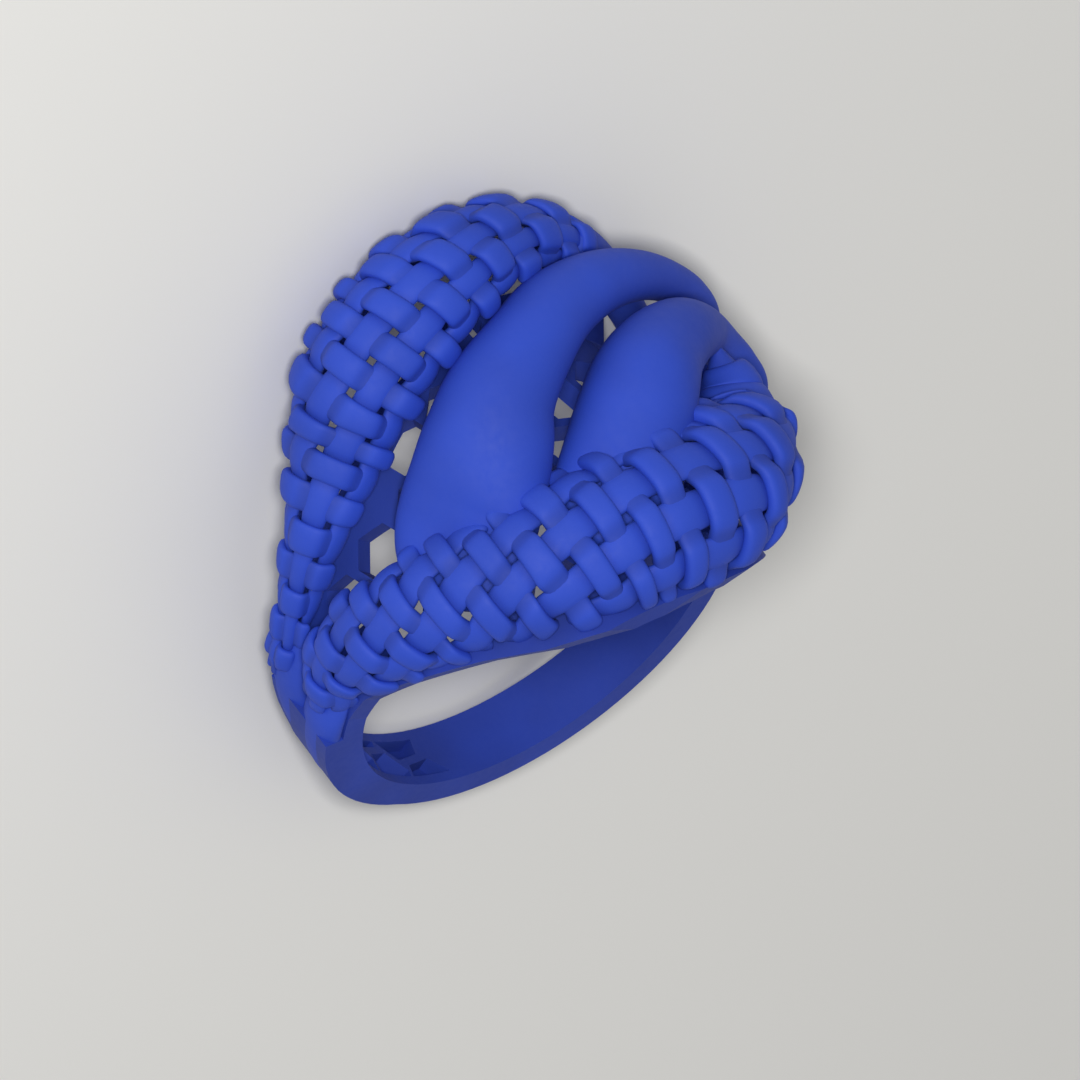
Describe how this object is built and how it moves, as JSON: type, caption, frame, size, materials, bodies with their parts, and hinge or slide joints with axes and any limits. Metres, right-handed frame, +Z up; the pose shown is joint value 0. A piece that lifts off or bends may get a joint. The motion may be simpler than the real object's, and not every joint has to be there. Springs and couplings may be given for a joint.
{
  "type": "woven knot ring",
  "caption": "Finger ring with a pierced honeycomb gallery, smooth tapering crescents and basket-woven bands crossing over the top.",
  "frame": {"origin": "on the table under the middle of the ring's box as it lies at rest", "axes": "+Z up from the table; X across the ring from the left shoulder to the right one; the finger hole's axis leans in the YZ plane, its front end up and towards -Y"},
  "size_m": [0.0236, 0.0278, 0.0161],
  "materials": {
    "shank": "satin",
    "crescents": "satin",
    "front_band": "satin",
    "back_band": "satin"
  },
  "bodies": {
    "root": {"shank": "shank", "outer_crescent": "crescents", "inner_crescent": "crescents", "front_warp_1": "front_band", "front_warp_2": "front_band", "front_warp_3": "front_band", "front_warp_4": "front_band", "front_warp_5": "front_band", "front_warp_6": "front_band", "front_warp_7": "front_band", "front_wefts": "front_band", "front_tip": "front_band", "back_warp_1": "back_band", "back_warp_2": "back_band", "back_warp_3": "back_band", "back_warp_4": "back_band", "back_warp_5": "back_band", "back_warp_6": "back_band", "back_wefts": "back_band"}
  },
  "joints": []
}
